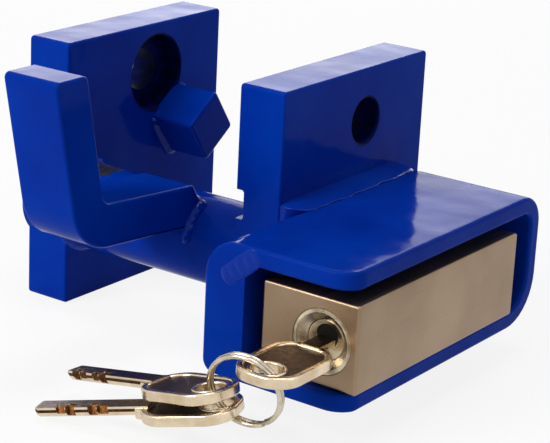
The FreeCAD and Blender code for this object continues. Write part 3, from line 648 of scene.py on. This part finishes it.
hookRadii = [hook["corner"], hook["outerBend"], *hook["endCorners"], hook["bend"], hook["corner"]]
hookBar = cutPlate("hook", [roundedLoop(hookLine, hookRadii, 14)], hook["lowX"], hook["highX"],
                   hook["edge"])
handOver(hookBar, "jaw", ["coupler_hook"], [blueEnamel])

# square block on the left jaw
block = {"side": 15.5, "reach": 15, "y": 49.5, "z": 48.6, "turn": 35, "edge": 1.0, "corner": 1.4,
         "sunk": 1.5}
half = block["side"] / 2
spin = Matrix.Rotation(math.radians(block["turn"]), 2)
blockCorners = [spin @ Vector(c) + Vector((block["y"], block["z"]))
                for c in ((-half, -half), (half, -half), (half, half), (-half, half))]
blockBar = cutPlate("block", [roundedLoop(blockCorners, [block["corner"]] * 4)],
                    leftIn - block["sunk"], leftIn + block["reach"], block["edge"])
handOver(blockBar, "jaw", ["socket_block"], [blueEnamel])
print("hook and block made")

# box: thick back wall, and a strap bent round the far end of the padlock
box = {"frontY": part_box("back_wall")[0].y / mm, "backY": 63.9, "lowZ": 10, "highZ": 48,
       "wallX": 22.5, "seamX": 35.5, "openX": 68.5, "plate": 5, "topRound": 10, "footRound": 4,
       "bendTop": 9, "bendLow": 14, "planRound": 7, "edge": 1.0}


def wallSection(y, inset, lift=0, drop=0):
    low, high = box["lowZ"] + inset + lift, box["highZ"] - inset - drop
    left = box["wallX"] + inset
    loop = roundedLoop([(left, low), (box["seamX"], low), (box["seamX"], high), (left, high)],
                       [box["footRound"] - inset, None, None, box["topRound"] - inset], 12)
    return [Vector((p.x, y, p.y)) for p in loop]


ease = [(box["edge"] * (1 - math.cos(a)), box["edge"] * (1 - math.sin(a)))
        for a in (math.pi / 2 * k / 5 for k in range(6))]
wallSections = [wallSection(box["frontY"] + d, inset) for d, inset in ease]
for k in range(17):                       # its far end is dressed to the strap's two bends
    swing = math.pi / 2 * k / 16
    y = box["backY"] - box["bendLow"] * (1 - math.sin(swing))
    past = max(0, y - box["backY"] + box["bendTop"])
    wallSections.append(wallSection(y, 0, box["bendLow"] * (1 - math.cos(swing)),
                                    box["bendTop"] - math.sqrt(max(0, box["bendTop"] ** 2 - past ** 2))))
wall = carve(skin("box_wall", wallSections),
             turned("wall_bore", [(box["wallX"] - beyond, slideRadius), (box["seamX"] + beyond, slideRadius)],
                    (0, shaftBar["y"], shaftBar["z"])))
handOver(wall, "box", ["back_wall"], [blueEnamel])


def strapSection(x, front, inset):
    # the bent plate's outline, standing away from its full size by the inset
    low, high = box["lowZ"] + inset, box["highZ"] - inset
    inLow, inHigh = box["lowZ"] + box["plate"] - inset, box["highZ"] - box["plate"] + inset
    back, inBack = box["backY"] - inset, box["backY"] - box["plate"] + inset
    small = max(0.3, box["edge"] - inset)
    loop = roundedLoop([(front, low), (back, low), (back, high), (front, high), (front, inHigh),
                        (inBack, inHigh), (inBack, inLow), (front, inLow)],
                       [small, box["bendLow"] - inset, box["bendTop"] - inset, small, small,
                        box["bendTop"] - box["plate"] + inset, box["bendLow"] - box["plate"] + inset,
                        small], 9)
    return [Vector((x, p.x, p.y)) for p in loop]


strapSections = [strapSection(box["seamX"], box["frontY"], 0)]
radius = box["planRound"]
for k in range(11):
    swing = math.pi / 2 * k / 10
    x = box["openX"] - radius + radius * math.sin(swing)
    inset = max(0, x - (box["openX"] - box["edge"]))
    inset = box["edge"] - math.sqrt(max(0, box["edge"] ** 2 - inset ** 2))
    strapSections.append(strapSection(x, box["frontY"] + radius * (1 - math.cos(swing)), inset))
strap = skin("box_strap", strapSections)
handOver(strap, "box", ["housing_strap"], [blueEnamel])
print("box made")

# welds, painted over
seam = {"startY": -0.2, "endY": 58.5}
hookFoot = {"y": 4.3, "z": 40.9, "inset": 1, "slope": (0, 8, -12.9), "out": (0, 0.93, 0.37)}
mitre = {"high": (39.6, 46.7), "low": (28.4, 37.4), "proud": 0.15, "across": (0.64, 0, -0.77)}


def layWeld(name, body, nodes, run, width, height, seed, **shape):
    bead = weldRun(name, run, width, height, seed, **shape)
    return handOver(bead, body, nodes, [beadEnamel], sharp=60)


def shaftRun(x, towards, startDeg, endDeg, stepDeg=1.4):
    # a run round the shaft on a face at x; degrees from +Y towards +Z
    stations = []
    count = int(abs(endDeg - startDeg) / stepDeg)
    for k in range(count + 1):
        angle = math.radians(startDeg + (endDeg - startDeg) * k / count)
        out = Vector((0, math.cos(angle), math.sin(angle)))
        spot = Vector((x, shaftBar["y"], shaftBar["z"])) + out * shaftBar["radius"]
        stations.append((spot, out, Vector((towards, 0, 0))))
    return stations


topRun = straightRun((box["wallX"], seam["startY"], box["highZ"]), (box["wallX"], seam["endY"], box["highZ"]),
                     (1, 0, 0), (0, 0, 1))
layWeld("jaw_weld", "box", ["jaw_top_weld"], topRun, 8.2, 1.0, 3, root=(-0.2, -9.6), bow=1.4, pitch=4.2,
        ripple=0.24, taper=5.0)
layWeld("shaft_root", "jaw", ["shaft_root_weld"], shaftRun(leftIn, 1, 0, 358.6), 1.8, 2.0, 5, pitch=3.4,
        endless=True)
for side, x, towards in (("left", hook["lowX"], -1), ("right", hook["highX"], 1)):
    layWeld("hook_weld_" + side, "jaw", ["hook_side_weld_" + side], shaftRun(x, towards, 108, 172), 1.9, 1.9,
            7 + x, pitch=3.0, ripple=0.3)
footY, footZ = hookFoot["y"], hookFoot["z"]
endRun = straightRun((hook["lowX"] + hookFoot["inset"], footY, footZ),
                     (hook["highX"] - hookFoot["inset"], footY, footZ),
                     -Vector(hookFoot["slope"]).normalized(), hookFoot["out"])
layWeld("hook_end_weld", "jaw", [], endRun, 2.6, 2.6, 21, pitch=3.4, ripple=0.14)
proudY = box["frontY"] + mitre["proud"]
mitreEnds = [(x, proudY, z) for x, z in (mitre["high"], mitre["low"])]
mitreRun = straightRun(*mitreEnds, mitre["across"], (0, -1, 0))
layWeld("box_corner_weld", "box", [], mitreRun, 3.0, 0.45, 31, root=(0, -1.5), pitch=2.9, ripple=0.5,
        flat=True)

foot = roundedLoop(blockCorners, [block["corner"]] * 4)
foot = foot[-8:] + foot[:-8]              # starts past the corner beside the drilled hole
blockRun = []
for before, here, after in zip(foot[3:-5], foot[4:-4], foot[5:-3]):
    way = (after - before).normalized()
    blockRun.append((Vector((leftIn, here.x, here.y)), Vector((0, way.y, -way.x)), Vector((1, 0, 0))))
layWeld("block_weld", "jaw", [], resampled(blockRun, 0.35), 1.7, 1.7, 11, pitch=3.2, ripple=0.12)
print("welds laid")

# padlock face: turned dish and plug
lock = {"frontY": -30.6, "x": coreLine[0], "z": coreLine[1], "keyWay": 3.2, "keyWayRise": 0.8}
front = lock["frontY"]


def openMiddle(piece):
    # turns a capped lathe shape into a ring: both caps go, and their rims are joined
    work = bmesh.new()
    work.from_mesh(piece.data)
    caps = [face for face in work.faces if len(face.verts) > 6]
    bmesh.ops.delete(work, geom=caps, context="FACES")
    bmesh.ops.bridge_loops(work, edges=[edge for edge in work.edges if edge.is_boundary])
    bmesh.ops.recalc_face_normals(work, faces=work.faces)
    work.to_mesh(piece.data)
    work.free()


dishLine = [(front + 3.0, 8.95), (front + 0.2, 8.95), (front + 0.05, 8.8), (front + 0.02, 8.2),
            (front - 0.1, 7.95), (front + 0.02, 7.7), (front + 0.3, 7.5), (front + 1.85, 5.65),
            (front + 2.0, 5.55), (front + 3.0, 5.5)]
dish = turned("lock_dish", dishLine, (lock["x"], 0, lock["z"]), "y", 96)
openMiddle(dish)
handOver(dish, "padlock", ["face_dish"], [dishSteel])

# the plug keeps its drawn body; its coned face, with the round keyway, is a separate disc
faceLine = [(front + 3.35, 5.45), (front + 2.0, 5.45), (front + 1.9, 5.35), (front + 2.7, 3.2),
            (front + 2.7, 0.5), (front + 3.35, 0.5)]
plugFace = turned("plug_face", faceLine, (lock["x"], 0, lock["z"]), "y", 96)
wayLine = [(front, lock["keyWay"] + 0.2), (front + 2.45, lock["keyWay"] + 0.2),
           (front + 2.75, lock["keyWay"]), (front + 5, lock["keyWay"])]
wayZ = lock["z"] + lock["keyWayRise"]
carve(plugFace, turned("keyway_cutter", wayLine, (lock["x"], 0, wayZ), "y"))
handOver(plugFace, "plug", [], [dishSteel])
# a near-black sleeve inside the keyway: a dark piece that is painted shade
shadeSleeve = [(front + 2.8, lock["keyWay"] + 0.25), (front + 2.8, lock["keyWay"] - 0.02),
          (front + 7.5, lock["keyWay"] - 0.05), (front + 7.5, 0.4), (front + 7.7, 0.4),
          (front + 7.7, lock["keyWay"] + 0.25)]
handOver(turned("keyway_shade_sleeve", shadeSleeve, (lock["x"], 0, wayZ), "y", 48), "plug", [],
         [keywayShadeBlack])
print("dish made")

# keys
key = {"bowLong": 26, "bowWide": 18, "bowThick": 3, "corner": 7.5, "eyeInset": 5.6, "eye": 3.8,
       "drop": 1.4, "rim": 1.9, "boss": 1.25, "lap": 0.3, "coreInset": 1.2, "recess": 0.45, "blade": 2.7,
       "flat": 0.5, "bladeLong": 30.2, "cutRise": 0.12, "cutLip": 0.02, "cutWay": (-0.84, 0.54),
       "faceGap": 3}
keyCuts = {"key_in_lock": [(2.6, 4.4, 0.9), (8.2, 2.9, 1.5), (12.6, 3.4, 0.7), (18.6, 2.4, 1.2)],
           "spare_low": [(6.4, 2.5, 1.2), (9.1, 2.5, 2.0), (15.4, 2.4, 2.0), (18.0, 3.0, 1.5)],
           "spare_high": [(2.4, 2.6, 1.9), (5.2, 2.5, 1.1), (9.8, 2.4, 1.3), (12.4, 2.8, 2.0)]}


def bowLoop(inset):
    low, high = key["eyeInset"] - key["bowLong"] + inset, key["eyeInset"] - inset
    wide = key["bowWide"] / 2 - inset
    return roundedLoop([(low, -wide), (high, -wide), (high, wide), (low, wide)],
                       [key["corner"] - inset] * 4, 12)


def keyShape(name):
    low, high = -key["bowThick"] / 2, key["bowThick"] / 2
    core = cutPlate("core", [bowLoop(key["coreInset"]), circleLoop(0, 0, key["eye"] + key["lap"])],
                    low + key["recess"], high - key["recess"], 0.02, ("x", "y"))
    rim = cutPlate("rim", [bowLoop(0), bowLoop(key["rim"])], low, high, 0.55, ("x", "y"))
    boss = cutPlate("boss", [circleLoop(0, 0, key["eye"] + key["boss"]), circleLoop(0, 0, key["eye"])],
                    low, high, 0.5, ("x", "y"))
    bow = [core, rim, boss]
    for part in bow:
        part.data.transform(Matrix.Translation((0, 0, -key["drop"] * mm)))
    root = key["eyeInset"] - key["bowLong"]
    tip = root - key["bladeLong"]
    arc = math.acos(key["flat"] / key["blade"])
    stations = [(tip, 0.55, None), (tip + 0.35, 0.9, None), (tip + 0.9, 1.0, None)]
    for start, wide, deep in keyCuts[name]:
        a, b = tip + start, tip + start + wide
        stations += [(a - key["cutLip"], 1, None), (a + key["cutRise"], 1, deep),
                     (b - key["cutRise"], 1, deep), (b + key["cutLip"], 1, None)]
    stations += [(root + 2, 1, None)]
    sections = []
    sideways = Vector(key["cutWay"])      # towards the edge between the flat and the near side
    roundSteps, flatSteps = 32, 8
    for x, scale, deep in stations:
        section = []
        for k in range(roundSteps + 1):
            angle = math.pi / 2 + arc + (2 * math.pi - 2 * arc) * k / roundSteps
            section.append(Vector((math.cos(angle), math.sin(angle))) * key["blade"] * scale)
        for k in range(1, flatSteps):
            section.append(section[roundSteps].lerp(section[0], k / flatSteps))
        if deep:
            reach = sideways.dot(section[0]) - deep
            section = [p - sideways * max(0, sideways.dot(p) - reach) for p in section]
        sections.append([Vector((x, p.x, p.y)) for p in section])
    blade = skin("blade", sections)
    facing = Vector((0, sideways.x, sideways.y))
    full = facing.dot(Vector((0, -key["blade"] * math.sin(arc), key["flat"])))
    for face in blade.data.polygons:      # the cuts show brass, dark with painted shade
        if facing.dot(face.center) / mm < full - 0.3 and face.normal.dot(facing) > 0.6:
            face.material_index = 2
        elif face.normal.z > 0.95:        # the flat is painted dark: painted shade on the blade's top
            face.material_index = 1
    shoulder = cutPlate("shoulder", [roundedLoop([(root - 1.6, -3.6), (root + 2.5, -5.2),
                                                  (root + 2.5, 5.2), (root - 1.6, 3.6)], [1.2] * 4)],
                        -2.6, 0.1, 0.4, ("x", "y"))
    return joined(name, [(1, core), (0, rim), (0, boss), (None, blade), (0, shoulder)])


def layKey(name, node, body, eye, heading):
    # heading runs from the eye to the tip; the key's flat side stays as level as it can
    x = -Vector(heading).normalized()
    z = (Vector((0, 0, 1)) - x * x.z).normalized()
    turn = Matrix((x, z.cross(x), z)).transposed().to_4x4()
    piece = keyShape(name)
    piece.data.transform(Matrix.Translation(Vector(eye) * mm) @ turn)
    return handOver(piece, body, [node], [keyNickel, keyShadeBrown, cutBrassShade])


# the ring hangs in the eye of the key in the lock; its spoke runs from its centre to that eye
ring = {"radius": 9.9, "wire": 0.66, "gap": 0.62, "touchRise": 0.9, "spoke": (0.668, -0.053, 0.742),
        "facing": (0.155, -0.966, -0.208), "startDeg": 250, "crossAt": 330, "crossOver": 60}
eyeY = lock["frontY"] - key["faceGap"] - key["bowLong"] + key["eyeInset"]
insertedEye = Vector((lock["x"], eyeY, lock["z"]))
spoke = Vector(ring["spoke"]).normalized()
ringNormal = Vector(ring["facing"])
ringNormal = (ringNormal - spoke * ringNormal.dot(spoke)).normalized()
ringCentre = insertedEye + Vector((0, 0, ring["touchRise"] - key["drop"])) - spoke * ring["radius"]
sideWay = ringNormal.cross(spoke)


def onRing(degrees):
    angle = math.radians(degrees)
    return ringCentre + (spoke * math.cos(angle) + sideWay * math.sin(angle)) * ring["radius"]


layKey("key_in_lock", "inserted_key", "key", insertedEye, (0, 1, 0))
spares = {"low": {"onRing": 168, "tip": (-4.2, -68.6, 3.4)},
          "high": {"onRing": 139, "tip": (-6.5, -50.4, 7.4)}}
for side, lie in spares.items():
    eye = onRing(lie["onRing"])
    layKey("spare_" + side, "spare_key_" + side, "spare_" + side, eye, Vector(lie["tip"]) - eye)
print("keys made")

# split ring: two turns of wire that cross over once
wire = bpy.data.curves.new("ring_wire", "CURVE")
wire.dimensions = "3D"
wire.bevel_depth = ring["wire"] * mm
wire.bevel_resolution = 6
wire.use_fill_caps = True
spline = wire.splines.new("POLY")
turns = []
for wound in range(0, 722, 2):            # degrees
    crossing = min(1, max(0, (wound - ring["crossAt"]) / ring["crossOver"]))
    height = ring["gap"] * (2 * (3 * crossing ** 2 - 2 * crossing ** 3) - 1)
    turns.append(onRing(ring["startDeg"] + wound) + ringNormal * height)
spline.points.add(len(turns) - 1)
for point, spot in zip(spline.points, turns):
    point.co = (*(spot * mm), 1)
drawn = bpy.data.objects.new("ring_drawn", wire)
ringPiece = bpy.data.objects.new("key_ring", bpy.data.meshes.new_from_object(drawn))
bpy.data.objects.remove(drawn)
scene.collection.objects.link(ringPiece)
handOver(ringPiece, "ring", ["split_ring"], [springSteel], 50)
print("ring made")

# nodes kept as drawn, with their finishes
kept = {"locking_shaft": shaftFinish, "padlock_body": nickelBrass, "cylinder_shell": coreSteel,
        "shell_pin": coreSteel, "end_cap": coreSteel, "plug": plugSteel, "disc_stack": discBrass,
        "sidebar": coreSteel, "drive_rod": coreSteel, "locking_bolt": boltSteel,
        "bolt_yoke": coreSteel}
for name, finish in kept.items():
    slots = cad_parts[name].material_slots
    for slot in slots:
        slot.material = finish
    if not slots:
        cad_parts[name].data.materials.append(finish)
